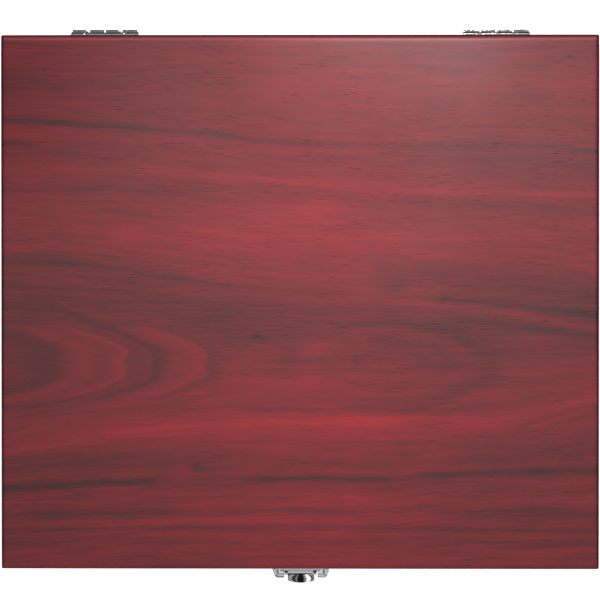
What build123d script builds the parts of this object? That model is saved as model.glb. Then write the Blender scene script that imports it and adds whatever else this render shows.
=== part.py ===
"""Hinged wooden poker chip case, 300 chips, with surface hinges and a sprung press latch.

Row frame, millimetres: +Z up, X across the case (left to right seen from the front), -Y towards the front (latch side).
The origin is the centre of the case's whole footprint, hinges and latch included, on the table plane. Everything below
is drawn about the middle of the wooden box and moved by Y_SHIFT when it is written. The lid is closed at rest.
"""

import os
from math import cos, radians, sin

from build123d import *

os.makedirs("parts", exist_ok=True)

# ---------------------------------------------------------------- driving dimensions
W, D = 310.0, 277.0  # outside of the wooden box
WALL = 12.0  # side board thickness
CORNER_R = 1.2  # rounding of the four upright corners
EASE = 0.8  # eased long edges along the seam and the underside
TOP_R = 2.2  # rounded edge all round the lid's top

FOOT_H, FOOT_R = 2.0, 7.0  # rubber feet
FOOT_X, FOOT_Y = 137.0, 120.5
Z_BOT = FOOT_H  # underside of the wood
Z_RIM = 44.0  # top of the base's boards
SEAM = 0.3  # gap between base and lid when closed
Z_LID = Z_RIM + SEAM
Z_TOP = 68.0
TOP_T = 5.0  # lid panel
FLOOR_T = 4.0  # bottom panel, let into a rebate
REBATE = 6.0
Z_FLOOR = Z_BOT + FLOOR_T

IN_X = W / 2 - WALL  # half of the inside, 143
IN_Y = D / 2 - WALL  # half of the inside, 126.5

PAD_T = 11.0  # lid lining pad

# chips, 39 mm across and 3.3 mm thick, 50 to a row
CHANNEL_R = 20.5
CHANNEL_L = 168.0
CHANNEL_N = 6
CHANNEL_PITCH = 46.5
CHANNEL_FLOOR = 3.2
Z_INSERT = 38.0  # top of both inserts
Z_CHIP = Z_FLOOR + CHANNEL_FLOOR + CHANNEL_R  # axis of the chip rows
RACK_X = 142.5
RACK_Y0, RACK_Y1 = -52.0, 126.0
CHANNEL_Y0 = RACK_Y0 + 5.0
TRAY_Y0, TRAY_Y1 = -126.0, -52.4
WELL_D = 66.5
DECK_W = 92.5
DECK_FLOOR = 12.0
DICE_W = 76.0
DICE_FLOOR = 18.0
DIVIDER = 8.0

# hinges
HINGE_X = 102.5  # hinge centres, left and right
HINGE_W = 34.0
LEAF_T = 0.8
PIN_R = 0.85
KNUCKLE_R = 1.6
LEAF_H = 16.0
Y_PIN = D / 2 + KNUCKLE_R
Z_PIN = Z_RIM + SEAM / 2
KNUCKLES = ((0.0, 8.3), (9.1, 16.6), (17.4, 25.3), (26.1, 34.0))
STOP_R = 2.3  # reach of the stop lips that hold the lid just past 100 degrees
STOP_A = 10.0  # angle of the working face of a stop lip, from straight back
HINGE_SCREW_DX = 10.5
HINGE_SCREW_DZ = 9.5

# latch, on the front face; V is the distance in front of that face
PLATE_X = 14.8
LATCH_Z0, LATCH_Z1 = 15.0, 42.6
BACK_T = 0.8
HOUSE_T = 0.9
BOSS_X = 14.2
BOSS_Z0, BOSS_Z1 = 26.2, 41.8
BOSS_V = 7.0
WINDOW_X = 8.9
PIVOT_V, PIVOT_Z = 3.5, 35.5
LEVER_X = 8.3
CLAW_X = 6.6
TAB_X = 7.0
TAB_V, TAB_Z = 11.0, 25.2  # outer end of the thumb tab
CROWN_R = 18.0  # the lever's front is bowed from side to side to this radius
CATCH_Z0, CATCH_Z1 = 46.2, 58.7
CATCH_SCREW_X, CATCH_SCREW_Z = 8.8, 54.2
HOUSE_SCREW_X, HOUSE_SCREW_Z = 11.2, 20.6

# screws
HEAD_R, HEAD_H = 2.0, 1.2
SHANK_R, SHANK_L = 0.95, 8.0
PILOT_R, PILOT_L = 1.0, 8.6


def front(v):
    """Y of a plane v millimetres in front of the box's front face."""
    return -D / 2 - v


def out_front(x, z, v=0.0):
    """Plane on the front face, looking out of it."""
    return Plane(origin=(x, front(v), z), x_dir=(1, 0, 0), z_dir=(0, -1, 0))


def out_back(x, z, v=0.0):
    """Plane on the back face, looking out of it."""
    return Plane(origin=(x, D / 2 + v, z), x_dir=(-1, 0, 0), z_dir=(0, 1, 0))


# the latch stands further out of the front than the hinges' stop lips do out of the back
Y_SHIFT = (TAB_V - (KNUCKLE_R + STOP_R * cos(radians(STOP_A)))) / 2


def save(part, label):
    placed = part.moved(Location((0, Y_SHIFT, 0)))
    placed.label = label
    export_step(placed, f"parts/{label}.step")


# ---------------------------------------------------------------- boards
MX, MY = W / 2 - WALL, D / 2 - WALL
# mitre wedges in plan; each runs past the box outside and stops on the inner face
k = 5.0
MITRE = {
    "front": [(-MX, -MY), (MX, -MY), (MX + WALL + k, -MY - WALL - k), (-MX - WALL - k, -MY - WALL - k)],
    "back": [(-MX, MY), (-MX - WALL - k, MY + WALL + k), (MX + WALL + k, MY + WALL + k), (MX, MY)],
    "left": [(-MX, -MY), (-MX - WALL - k, -MY - WALL - k), (-MX - WALL - k, MY + WALL + k), (-MX, MY)],
    "right": [(MX, -MY), (MX, MY), (MX + WALL + k, MY + WALL + k), (MX + WALL + k, -MY - WALL - k)],
}


def outer_edges(part, z):
    """The outside long edge of a board at height z, with the two corner arcs it runs into."""
    found = []
    for e in part.edges():
        c = e @ 0.5
        if abs(c.Z - z) < 1e-3 and abs(e.start_point().Z - z) < 1e-3 and abs(e.end_point().Z - z) < 1e-3:
            on_x = abs(abs(c.X) - W / 2) < CORNER_R * 0.8
            on_y = abs(abs(c.Y) - D / 2) < CORNER_R * 0.8
            if (on_x or on_y) and not (abs(c.X) < MX and abs(c.Y) < MY):
                a, b = e.start_point(), e.end_point()
                mitre = abs(abs(a.X - b.X) - abs(a.Y - b.Y)) < 1e-3 and abs(a.X - b.X) > WALL - 3
                if not mitre:
                    found.append(e)
    return found


def board(side, z0, z1, ease_top, ease_bottom, rebate, holes):
    """One mitred side board between heights z0 and z1, with pilot holes given as planes looking out of it."""
    with BuildPart() as b:
        with BuildSketch(Plane.XY.offset(z0)):
            RectangleRounded(W, D, CORNER_R)
            Rectangle(2 * MX, 2 * MY, mode=Mode.SUBTRACT)
            with BuildLine():
                Polyline(*MITRE[side], close=True)
            make_face(mode=Mode.INTERSECT)
        extrude(amount=z1 - z0)
        if ease_top:
            fillet(outer_edges(b.part, z1), radius=EASE)
        if ease_bottom:
            fillet(outer_edges(b.part, z0), radius=EASE)
        if rebate:
            with BuildSketch(Plane.XY.offset(z0)):
                Rectangle(2 * (MX + REBATE), 2 * (MY + REBATE))
            extrude(amount=FLOOR_T, mode=Mode.SUBTRACT)
        for plane in holes:
            with BuildSketch(plane):
                Circle(PILOT_R)
            extrude(amount=-PILOT_L, mode=Mode.SUBTRACT)
    return b.part


HINGE_XS = (-HINGE_X, HINGE_X)
HINGE_SCREW_XS = [c + s for c in HINGE_XS for s in (-HINGE_SCREW_DX, HINGE_SCREW_DX)]

base_front = board(
    "front", Z_BOT, Z_RIM, True, True, True,
    [out_front(s * HOUSE_SCREW_X, HOUSE_SCREW_Z) for s in (-1, 1)],
)
base_back = board(
    "back", Z_BOT, Z_RIM, True, True, True,
    [out_back(x, Z_PIN - HINGE_SCREW_DZ) for x in HINGE_SCREW_XS],
)
base_left = board("left", Z_BOT, Z_RIM, True, True, True, [])
base_right = board("right", Z_BOT, Z_RIM, True, True, True, [])
save(base_front, "base_front_board")
save(base_back, "base_back_board")
save(base_left, "base_left_board")
save(base_right, "base_right_board")

Z_PANEL = Z_TOP - TOP_T
lid_front = board(
    "front", Z_LID, Z_PANEL, False, True, False,
    [out_front(s * CATCH_SCREW_X, CATCH_SCREW_Z) for s in (-1, 1)],
)
lid_back = board(
    "back", Z_LID, Z_PANEL, False, True, False,
    [out_back(x, Z_PIN + HINGE_SCREW_DZ) for x in HINGE_SCREW_XS],
)
lid_left = board("left", Z_LID, Z_PANEL, False, True, False, [])
lid_right = board("right", Z_LID, Z_PANEL, False, True, False, [])
save(lid_front, "lid_front_board")
save(lid_back, "lid_back_board")
save(lid_left, "lid_left_board")
save(lid_right, "lid_right_board")

# ---------------------------------------------------------------- lid panel, rounded along its top edges
with BuildPart() as lid_top_panel:
    with BuildSketch(Plane.XY.offset(Z_PANEL)):
        RectangleRounded(W, D, CORNER_R)
    extrude(amount=TOP_T)
    with BuildSketch(Plane.XZ.offset(-D / 2 - 5)):
        with Locations((0, Z_PANEL + TOP_T / 2)):
            rect = Rectangle(W, TOP_T)
        fillet(rect.vertices().group_by(Axis.Y)[-1], radius=TOP_R)
    extrude(amount=D + 10, mode=Mode.INTERSECT)
    with BuildSketch(Plane.YZ.offset(-W / 2 - 5)):
        with Locations((0, Z_PANEL + TOP_T / 2)):
            rect = Rectangle(D, TOP_T)
        fillet(rect.vertices().group_by(Axis.Y)[-1], radius=TOP_R)
    extrude(amount=W + 10, mode=Mode.INTERSECT)
save(lid_top_panel.part, "lid_top_panel")

# ---------------------------------------------------------------- bottom panel and the feet under it
with BuildPart() as bottom_panel:
    with BuildSketch(Plane.XY.offset(Z_BOT)):
        Rectangle(2 * (MX + REBATE) - 0.2, 2 * (MY + REBATE) - 0.2)
    extrude(amount=FLOOR_T)
save(bottom_panel.part, "bottom_panel")

with BuildPart() as feet:
    with BuildSketch():
        with Locations(*[(sx * FOOT_X, sy * FOOT_Y) for sx in (-1, 1) for sy in (-1, 1)]):
            Circle(FOOT_R)
    extrude(amount=FOOT_H)
    fillet(feet.edges().group_by(Axis.Z)[0], radius=0.8)
save(feet.part, "feet")

# ---------------------------------------------------------------- chip rack: six routed channels
channel_xs = [(i - (CHANNEL_N - 1) / 2) * CHANNEL_PITCH for i in range(CHANNEL_N)]
with BuildPart() as chip_rack:
    with BuildSketch(Plane.XY.offset(Z_FLOOR)):
        with Locations((0, (RACK_Y0 + RACK_Y1) / 2)):
            Rectangle(2 * RACK_X, RACK_Y1 - RACK_Y0)
    extrude(amount=Z_INSERT - Z_FLOOR)
    with BuildSketch(Plane.XZ.offset(-(CHANNEL_Y0 + CHANNEL_L))):
        with Locations(*[(x, Z_CHIP) for x in channel_xs]):
            Circle(CHANNEL_R)
        with Locations(*[(x, Z_CHIP + 20) for x in channel_xs]):
            Rectangle(2 * CHANNEL_R, 40)
    extrude(amount=CHANNEL_L, mode=Mode.SUBTRACT)
    # finger relief across the ridges
    with BuildSketch(Plane.YZ.offset(-RACK_X + 2.0)):
        with Locations((CHANNEL_Y0 + CHANNEL_L / 2, Z_INSERT + 36.0)):
            Circle(45.0)
    extrude(amount=2 * RACK_X - 4.0, mode=Mode.SUBTRACT)
save(chip_rack.part, "chip_rack")

# ---------------------------------------------------------------- card and dice tray
tray_mid = (TRAY_Y0 + TRAY_Y1) / 2
deck_x = DICE_W / 2 + DIVIDER + DECK_W / 2
with BuildPart() as card_tray:
    with BuildSketch(Plane.XY.offset(Z_FLOOR)):
        with Locations((0, tray_mid)):
            Rectangle(2 * RACK_X, TRAY_Y1 - TRAY_Y0)
    extrude(amount=Z_INSERT - Z_FLOOR)
    with BuildSketch(Plane.XY.offset(Z_INSERT)):
        with Locations((-deck_x, tray_mid), (deck_x, tray_mid)):
            RectangleRounded(DECK_W, WELL_D, 3.0)
    extrude(amount=-(Z_INSERT - DECK_FLOOR), mode=Mode.SUBTRACT)
    with BuildSketch(Plane.XY.offset(Z_INSERT)):
        with Locations((0, tray_mid)):
            RectangleRounded(DICE_W, WELL_D, 3.0)
    extrude(amount=-(Z_INSERT - DICE_FLOOR), mode=Mode.SUBTRACT)
    # thumb notches in the two dividers, for lifting a deck
    for s in (-1, 1):
        x0 = s * (DICE_W / 2 + DIVIDER / 2) - DIVIDER / 2 - 4
        with BuildSketch(Plane.YZ.offset(x0)):
            with Locations((tray_mid, Z_INSERT)):
                Circle(13.0)
        extrude(amount=DIVIDER + 8, mode=Mode.SUBTRACT)
save(card_tray.part, "card_tray")

# ---------------------------------------------------------------- lid lining pad
with BuildPart() as lid_pad:
    with BuildSketch(Plane.XY.offset(Z_PANEL - PAD_T)):
        RectangleRounded(2 * IN_X - 1.4, 2 * IN_Y - 1.4, 3.0)
    extrude(amount=PAD_T)
    fillet(lid_pad.edges().group_by(Axis.Z)[0], radius=3.0)
save(lid_pad.part, "lid_lining_pad")

# ---------------------------------------------------------------- wood screw, head seated at local z = 0, pointing along -z
with BuildPart() as screw_blank:
    with BuildSketch():
        Circle(HEAD_R)
    extrude(amount=HEAD_H)
    fillet(screw_blank.edges().group_by(Axis.Z)[-1], radius=0.85)
    with BuildSketch(Plane.XY.offset(HEAD_H)):
        Rectangle(2.2, 0.5)
        Rectangle(0.5, 2.2)
    extrude(amount=-0.6, mode=Mode.SUBTRACT)
    with BuildSketch():
        Circle(SHANK_R)
    extrude(amount=-(SHANK_L - 1.2))
    with BuildSketch(Plane.XY.offset(-(SHANK_L - 1.2))):
        Circle(SHANK_R)
    extrude(amount=-1.2, taper=30)


def screw_group(planes, label):
    with BuildPart() as group:
        with Locations(*[p.location for p in planes]):
            add(screw_blank.part)
    save(group.part, label)


# ---------------------------------------------------------------- hinges
def wedge(r0, r1, a0, a1):
    """Corners of a stop lip between two angles about the pin, as (Y, Z) points."""
    pts = []
    for r, a in ((r0, a0), (r1, a0), (r1, a1), (r0, a1)):
        pts.append((Y_PIN + r * cos(radians(a)), Z_PIN + r * sin(radians(a))))
    return pts


def hinge_leaf(x_left, up, knuckles, bore_r):
    """One bent leaf: a flat plate on the wood, its knuckles round the pin and a stop lip on each knuckle."""
    s = 1 if up else -1
    y0, y1 = D / 2, D / 2 + LEAF_T
    near = KNUCKLE_R + 0.3
    with BuildPart() as leaf:
        # flat plate
        plate = Plane(origin=(x_left + HINGE_W / 2, y0, Z_PIN), x_dir=(1, 0, 0), z_dir=(0, -1, 0))
        with BuildSketch(plate):
            with Locations((0, s * (near + LEAF_H) / 2)):
                r = Rectangle(HINGE_W, LEAF_H - near)
            far = r.vertices().group_by(Axis.Y)[-1 if up else 0]
            fillet(far, radius=2.0)
        extrude(amount=-LEAF_T)
        for a, b in knuckles:
            # strip from the plate down to the barrel, then the barrel
            with BuildSketch(Plane.YZ.offset(x_left + a)):
                with Locations(((y0 + y1) / 2, Z_PIN + s * (near + 0.5) / 2)):
                    Rectangle(LEAF_T, near + 0.5)
                with Locations((Y_PIN, Z_PIN)):
                    Circle(KNUCKLE_R)
                with Locations((Y_PIN, Z_PIN)):
                    Circle(bore_r, mode=Mode.SUBTRACT)
            extrude(amount=b - a)
            # stop lip, on the lid's leaf shorter than the knuckle
            a0, a1 = (-STOP_A, STOP_A + 0.2) if up else (-STOP_A - 0.2, STOP_A)
            with BuildSketch(Plane.YZ.offset(x_left + a + 0.1)):
                with BuildLine():
                    Polyline(*wedge(KNUCKLE_R - 0.25, STOP_R, a0, a1), close=True)
                make_face()
            extrude(amount=b - a - (1.4 if up else 0.2))
        # screw holes
        for dx in (-HINGE_SCREW_DX, HINGE_SCREW_DX):
            with BuildSketch(out_back(x_left + HINGE_W / 2 + dx, Z_PIN + s * HINGE_SCREW_DZ, LEAF_T)):
                Circle(SHANK_R + 0.2)
            extrude(amount=-LEAF_T, mode=Mode.SUBTRACT)
    return leaf.part


for name, cx in (("left", -HINGE_X), ("right", HINGE_X)):
    x_left = cx - HINGE_W / 2
    lid_knuckles = (KNUCKLES[0], KNUCKLES[2])
    base_knuckles = (KNUCKLES[1], KNUCKLES[3])
    lid_leaf = hinge_leaf(x_left, True, lid_knuckles, PIN_R + 0.06)
    base_leaf = hinge_leaf(x_left, False, base_knuckles, PIN_R + 0.02)
    save(lid_leaf, f"hinge_{name}_lid_leaf")
    save(base_leaf, f"hinge_{name}_base_leaf")
    with BuildPart() as pin:
        with BuildSketch(Plane.YZ.offset(x_left - 0.5)):
            with Locations((Y_PIN, Z_PIN)):
                Circle(PIN_R)
        extrude(amount=HINGE_W + 1.0)
        with BuildSketch(Plane.YZ.offset(x_left - 0.6)):
            with Locations((Y_PIN, Z_PIN)):
                Circle(PIN_R + 0.35)
        extrude(amount=0.55)
        with BuildSketch(Plane.YZ.offset(x_left + HINGE_W + 0.05)):
            with Locations((Y_PIN, Z_PIN)):
                Circle(PIN_R + 0.35)
        extrude(amount=0.55)
    save(pin.part, f"hinge_{name}_pin")
    xs = [cx - HINGE_SCREW_DX, cx + HINGE_SCREW_DX]
    screw_group([out_back(x, Z_PIN + HINGE_SCREW_DZ, LEAF_T) for x in xs], f"hinge_{name}_lid_screws")
    screw_group([out_back(x, Z_PIN - HINGE_SCREW_DZ, LEAF_T) for x in xs], f"hinge_{name}_base_screws")

# ---------------------------------------------------------------- latch: catch plate on the lid
with BuildPart() as catch_plate:
    with BuildSketch(out_front(0, 0)):
        with Locations((0, (CATCH_Z0 + CATCH_Z1) / 2)):
            RectangleRounded(2 * PLATE_X, CATCH_Z1 - CATCH_Z0, 2.0)
    extrude(amount=1.0)
    # lip the claw reaches over, bent out of the plate's lower edge
    with BuildSketch(Plane.YZ.offset(-5.8)):
        with BuildLine():
            Polyline(
                (front(0.4), CATCH_Z0),
                (front(2.8), CATCH_Z0),
                (front(3.2), CATCH_Z0 + 0.4),
                (front(2.9), CATCH_Z0 + 0.8),
                (front(1.2), CATCH_Z0 + 0.8),
                (front(0.4), CATCH_Z0 + 1.6),
                close=True,
            )
        make_face()
    extrude(amount=11.6)
    for s in (-1, 1):
        with BuildSketch(out_front(s * CATCH_SCREW_X, CATCH_SCREW_Z, 1.0)):
            Circle(SHANK_R + 0.2)
        extrude(amount=-1.0, mode=Mode.SUBTRACT)
save(catch_plate.part, "latch_catch_plate")
screw_group([out_front(s * CATCH_SCREW_X, CATCH_SCREW_Z, 1.0) for s in (-1, 1)], "latch_catch_screws")

# ---------------------------------------------------------------- latch: back plate and pressed housing on the base
with BuildPart() as back_plate:
    with BuildSketch(out_front(0, 0)):
        with Locations((0, (LATCH_Z0 + LATCH_Z1) / 2)):
            RectangleRounded(2 * PLATE_X, LATCH_Z1 - LATCH_Z0, 2.0)
    extrude(amount=BACK_T)
    for s in (-1, 1):
        with BuildSketch(out_front(s * HOUSE_SCREW_X, HOUSE_SCREW_Z, BACK_T)):
            Circle(SHANK_R + 0.2)
        extrude(amount=-BACK_T, mode=Mode.SUBTRACT)
save(back_plate.part, "latch_back_plate")

v0, v1 = BACK_T, BACK_T + HOUSE_T
with BuildPart() as housing:
    with BuildSketch(out_front(0, 0, v0)):
        with Locations((0, (BOSS_Z0 + BOSS_Z1) / 2)):
            RectangleRounded(2 * BOSS_X, BOSS_Z1 - BOSS_Z0, 2.6)
    extrude(amount=BOSS_V - v0)
    fillet(housing.edges().group_by(Axis.Y)[0], radius=2.4)
    with BuildSketch(out_front(0, 0, v0)):
        with Locations((0, (LATCH_Z0 + LATCH_Z1) / 2)):
            RectangleRounded(2 * PLATE_X, LATCH_Z1 - LATCH_Z0, 2.0)
    extrude(amount=HOUSE_T)
    # hollow of the pressed boss
    with BuildSketch(out_front(0, 0, v0)):
        with Locations((0, (BOSS_Z0 + BOSS_Z1) / 2)):
            RectangleRounded(2 * (BOSS_X - HOUSE_T), BOSS_Z1 - BOSS_Z0 - 2 * HOUSE_T, 1.7)
    extrude(amount=BOSS_V - v0 - HOUSE_T, mode=Mode.SUBTRACT)
    # window for the lever, open through the boss's front, top and bottom walls
    with BuildSketch(out_front(0, 0, 3.2)):
        with Locations((0, (BOSS_Z0 + BOSS_Z1) / 2)):
            Rectangle(2 * WINDOW_X, BOSS_Z1 - BOSS_Z0 + 2.0)
    extrude(amount=BOSS_V, mode=Mode.SUBTRACT)
    for s in (-1, 1):
        with BuildSketch(out_front(s * HOUSE_SCREW_X, HOUSE_SCREW_Z, v1)):
            Circle(SHANK_R + 0.2)
        extrude(amount=-HOUSE_T, mode=Mode.SUBTRACT)
    with BuildSketch(Plane.YZ.offset(-BOSS_X - 1)):
        with Locations((front(PIVOT_V), PIVOT_Z)):
            Circle(PIN_R + 0.02)
    extrude(amount=2 * BOSS_X + 2, mode=Mode.SUBTRACT)
save(housing.part, "latch_housing")
screw_group([out_front(s * HOUSE_SCREW_X, HOUSE_SCREW_Z, v1) for s in (-1, 1)], "latch_housing_screws")

with BuildPart() as lever_pin:
    with BuildSketch(Plane.YZ.offset(-BOSS_X - 0.3)):
        with Locations((front(PIVOT_V), PIVOT_Z)):
            Circle(PIN_R)
    extrude(amount=2 * BOSS_X + 0.6)
    for x in (-BOSS_X - 0.45, BOSS_X + 0.05):
        with BuildSketch(Plane.YZ.offset(x)):
            with Locations((front(PIVOT_V), PIVOT_Z)):
                Circle(PIN_R + 0.4)
        extrude(amount=0.4)
save(lever_pin.part, "latch_lever_pin")

# ---------------------------------------------------------------- latch: sprung lever, a bowed strip with two cheeks
LEVER_T = 0.9


def vz(v, z):
    return (front(v), z)


def bow(x):
    """How far the bowed front falls back at a distance x from its middle."""
    return CROWN_R - (CROWN_R**2 - x**2) ** 0.5


# front of the lever at its middle, from the foot of the claw down to the thumb tab: (V, Z, thickness along V)
LEVER_LINE = (
    (4.60, 46.0, 0.90),
    (4.85, 43.0, 0.90),
    (5.15, 40.0, 0.92),
    (5.55, 37.0, 0.95),
    (6.15, 34.4, 1.00),
    (7.45, 31.8, 1.15),
    (9.35, 29.0, 1.30),
    (10.50, 26.9, 1.25),
    (11.00, 25.2, 1.20),
)
with BuildPart() as lever:
    for v, z, t in LEVER_LINE:
        flat = 0.0 if z > 42 else (0.35 if z > 39 else (0.75 if z > 36 else (1.0 if z > 30 else 0.8)))
        drop = bow(LEVER_X) * flat + 1e-3
        with BuildSketch(Plane.XY.offset(z)):
            with BuildLine():
                ThreePointArc((-LEVER_X, front(v - drop)), (0, front(v)), (LEVER_X, front(v - drop)))
                Line((LEVER_X, front(v - drop)), (LEVER_X, front(v - drop - t)))
                ThreePointArc((LEVER_X, front(v - drop - t)), (0, front(v - t)), (-LEVER_X, front(v - drop - t)))
                Line((-LEVER_X, front(v - drop - t)), (-LEVER_X, front(v - drop)))
            make_face()
    loft()
    # claw over the lip
    with BuildSketch(Plane.YZ.offset(-LEVER_X)):
        with BuildLine():
            Line(vz(4.6, 45.9), vz(4.6, 46.0))
            ThreePointArc(vz(4.6, 46.0), vz(2.4 + 2.2 * 0.7071, 46.0 + 2.2 * 0.7071), vz(2.4, 48.2))
            Line(vz(2.4, 48.2), vz(1.7, 48.1))
            Line(vz(1.7, 48.1), vz(1.6, 47.3))
            Line(vz(1.6, 47.3), vz(2.4, 47.3))
            ThreePointArc(vz(2.4, 47.3), vz(2.4 + 1.3 * 0.7071, 46.0 + 1.3 * 0.7071), vz(3.7, 46.0))
            Line(vz(3.7, 46.0), vz(3.7, 45.9))
            Line(vz(3.7, 45.9), vz(4.6, 45.9))
        make_face()
    extrude(amount=2 * LEVER_X)
    # outline seen from the front: narrow claw, wide shoulders, rounded thumb tab
    with BuildSketch(out_front(0, 0, 0)):
        with BuildLine():
            Polyline((-LEVER_X, 44.2), (-CLAW_X, 46.6), (-CLAW_X, 49.0), (CLAW_X, 49.0), (CLAW_X, 46.6), (LEVER_X, 44.2))
            Polyline((LEVER_X, 44.2), (LEVER_X, 33.0), (TAB_X, 31.4), (TAB_X, 27.3))
            ThreePointArc((TAB_X, 27.3), (TAB_X - 0.65, 25.75), (TAB_X - 2.2, 25.1))
            ThreePointArc((TAB_X - 2.2, 25.1), (0, 24.7), (-TAB_X + 2.2, 25.1))
            ThreePointArc((-TAB_X + 2.2, 25.1), (-TAB_X + 0.65, 25.75), (-TAB_X, 27.3))
            Polyline((-TAB_X, 27.3), (-TAB_X, 31.4), (-LEVER_X, 33.0), (-LEVER_X, 44.2))
        make_face()
    extrude(amount=20, mode=Mode.INTERSECT)
    # cheeks with the pivot holes
    for x0 in (-LEVER_X, LEVER_X - LEVER_T):
        with BuildSketch(Plane.YZ.offset(x0)):
            with BuildLine():
                Polyline(
                    vz(4.3, 40.0), vz(2.6, 39.4), vz(1.9, 38.2), vz(1.9, 33.0), vz(2.6, 32.2), vz(4.2, 32.5), vz(4.3, 34.5),
                    vz(4.3, 37.0), close=True,
                )
            make_face()
        extrude(amount=LEVER_T)
    with BuildSketch(Plane.YZ.offset(-LEVER_X - 1)):
        with Locations(vz(PIVOT_V, PIVOT_Z)):
            Circle(PIN_R + 0.06)
    extrude(amount=2 * LEVER_X + 2, mode=Mode.SUBTRACT)
save(lever.part, "latch_lever")

# ---------------------------------------------------------------- latch: leaf spring between back plate and lever
SPRING_T = 0.35
with BuildPart() as spring:
    with BuildSketch(Plane.YZ.offset(-4.0)):
        with BuildLine():
            Line(vz(BACK_T, 40.4), vz(BACK_T, 36.5))
            Spline(vz(BACK_T, 36.5), vz(1.9, 32.0), vz(5.3, 29.3), tangents=[(0, -1), (-0.94, -0.3)])
            Line(vz(5.3, 29.3), vz(5.2, 29.3 + SPRING_T))
            Spline(vz(5.2, 29.3 + SPRING_T), vz(2.2, 32.2), vz(BACK_T + SPRING_T, 36.5), tangents=[(0.94, 0.3), (0, 1)])
            Line(vz(BACK_T + SPRING_T, 36.5), vz(BACK_T + SPRING_T, 40.4))
            Line(vz(BACK_T + SPRING_T, 40.4), vz(BACK_T, 40.4))
        make_face()
    extrude(amount=8.0)
save(spring.part, "latch_spring")
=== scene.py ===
import math
import random

import bmesh
import bpy
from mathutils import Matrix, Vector

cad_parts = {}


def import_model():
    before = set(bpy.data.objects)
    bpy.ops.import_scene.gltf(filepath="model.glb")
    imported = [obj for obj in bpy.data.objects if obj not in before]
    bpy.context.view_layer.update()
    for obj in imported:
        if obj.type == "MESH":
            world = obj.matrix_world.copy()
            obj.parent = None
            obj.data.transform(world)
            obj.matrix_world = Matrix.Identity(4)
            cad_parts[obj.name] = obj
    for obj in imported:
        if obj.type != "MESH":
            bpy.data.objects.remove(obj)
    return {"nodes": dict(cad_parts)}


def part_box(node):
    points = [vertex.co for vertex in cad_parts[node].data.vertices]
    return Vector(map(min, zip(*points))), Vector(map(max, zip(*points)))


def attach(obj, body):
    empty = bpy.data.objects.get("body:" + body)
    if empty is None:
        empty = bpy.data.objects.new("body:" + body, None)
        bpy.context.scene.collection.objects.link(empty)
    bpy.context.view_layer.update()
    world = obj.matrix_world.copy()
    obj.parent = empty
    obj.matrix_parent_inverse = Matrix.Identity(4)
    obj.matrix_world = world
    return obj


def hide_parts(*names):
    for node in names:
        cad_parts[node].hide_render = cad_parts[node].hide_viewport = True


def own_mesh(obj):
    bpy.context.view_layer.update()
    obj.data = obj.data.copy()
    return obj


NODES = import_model()["nodes"]
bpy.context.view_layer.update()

random.seed(7)

LID_LOW, LID_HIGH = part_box("lid_top_panel")
CASE_Y = ((LID_LOW + LID_HIGH) / 2).y * 1000  # middle of the wooden case, mm
LID_HALF_X = (LID_HIGH.x - LID_LOW.x) / 2 * 1000
LID_HALF_Y = (LID_HIGH.y - LID_LOW.y) / 2 * 1000
LEAF_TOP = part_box("hinge_left_lid_leaf")[1].z * 1000  # sheared top edge of the hinge leaf, mm

PAD_LOW, PAD_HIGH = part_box("lid_lining_pad")


# ------------------------------------------------------------------ shader arithmetic
class Value:
    """A value in a shader tree, so that formulas can be written as formulas."""

    def __init__(self, tree, socket):
        self.tree = tree
        self.socket = socket

    def op(self, name, *others, clamp=False):
        return math_node(self.tree, name, self, *others, clamp=clamp)

    def __add__(self, other):
        return self.op("ADD", other)

    __radd__ = __add__

    def __sub__(self, other):
        return self.op("SUBTRACT", other)

    def __rsub__(self, other):
        return math_node(self.tree, "SUBTRACT", other, self)

    def __mul__(self, other):
        return self.op("MULTIPLY", other)

    def __truediv__(self, other):
        return self.op("DIVIDE", other)

    def __pow__(self, other):
        return self.op("POWER", other)

    def __neg__(self):
        return self * -1.0

    def abs(self):
        return self.op("ABSOLUTE")

    def max(self, other):
        return self.op("MAXIMUM", other)

    def min(self, other):
        return self.op("MINIMUM", other)

    def clamp(self):
        return self.op("ADD", 0.0, clamp=True)


def feed(node, inputs):
    """Link or set a node's inputs. A tuple is a colour without its alpha."""
    for key, value in inputs.items():
        if isinstance(value, Value):
            value.tree.links.new(value.socket, node.inputs[key])
        elif isinstance(value, tuple):
            node.inputs[key].default_value = (*value, 1.0)
        else:
            node.inputs[key].default_value = value


def add_node(tree, kind, inputs, output=0, **settings):
    """Add a shader node and return one of its outputs."""
    node = tree.nodes.new("ShaderNode" + kind)
    for name, setting in settings.items():
        setattr(node, name, setting)
    feed(node, inputs)
    return Value(tree, node.outputs[output])


def math_node(tree, name, *values, clamp=False):
    return add_node(tree, "Math", dict(enumerate(values)), operation=name, use_clamp=clamp)


def fade(value, start, end, before=0.0, after=1.0):
    """Smooth step of the value from start to end, going from before to after."""
    inputs = {"Value": value, "From Min": start, "From Max": end, "To Min": before, "To Max": after}
    return add_node(value.tree, "MapRange", inputs, interpolation_type="SMOOTHSTEP")


def gauss(value, centre, width):
    """Bell of height 1 about the centre."""
    off = (value - centre) / width
    return (-(off * off)).op("EXPONENT")


def noise(x, y, z=0.0, detail=2.0, rough=0.5):
    """Perlin noise about 0.5, sampled at (x, y, z) in its own cells."""
    tree = x.tree
    place = add_node(tree, "CombineXYZ", {0: x, 1: y, 2: z})
    inputs = {"Scale": 1.0, "Detail": detail, "Roughness": rough, "Vector": place}
    return add_node(tree, "TexNoise", inputs, output="Fac")


def noise_at(place, cell, **settings):
    """Noise whose cells have one size, or one size along each axis."""
    sizes = cell if isinstance(cell, tuple) else (cell,) * 3
    return noise(*(value / size for value, size in zip(place, sizes)), **settings)


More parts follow.
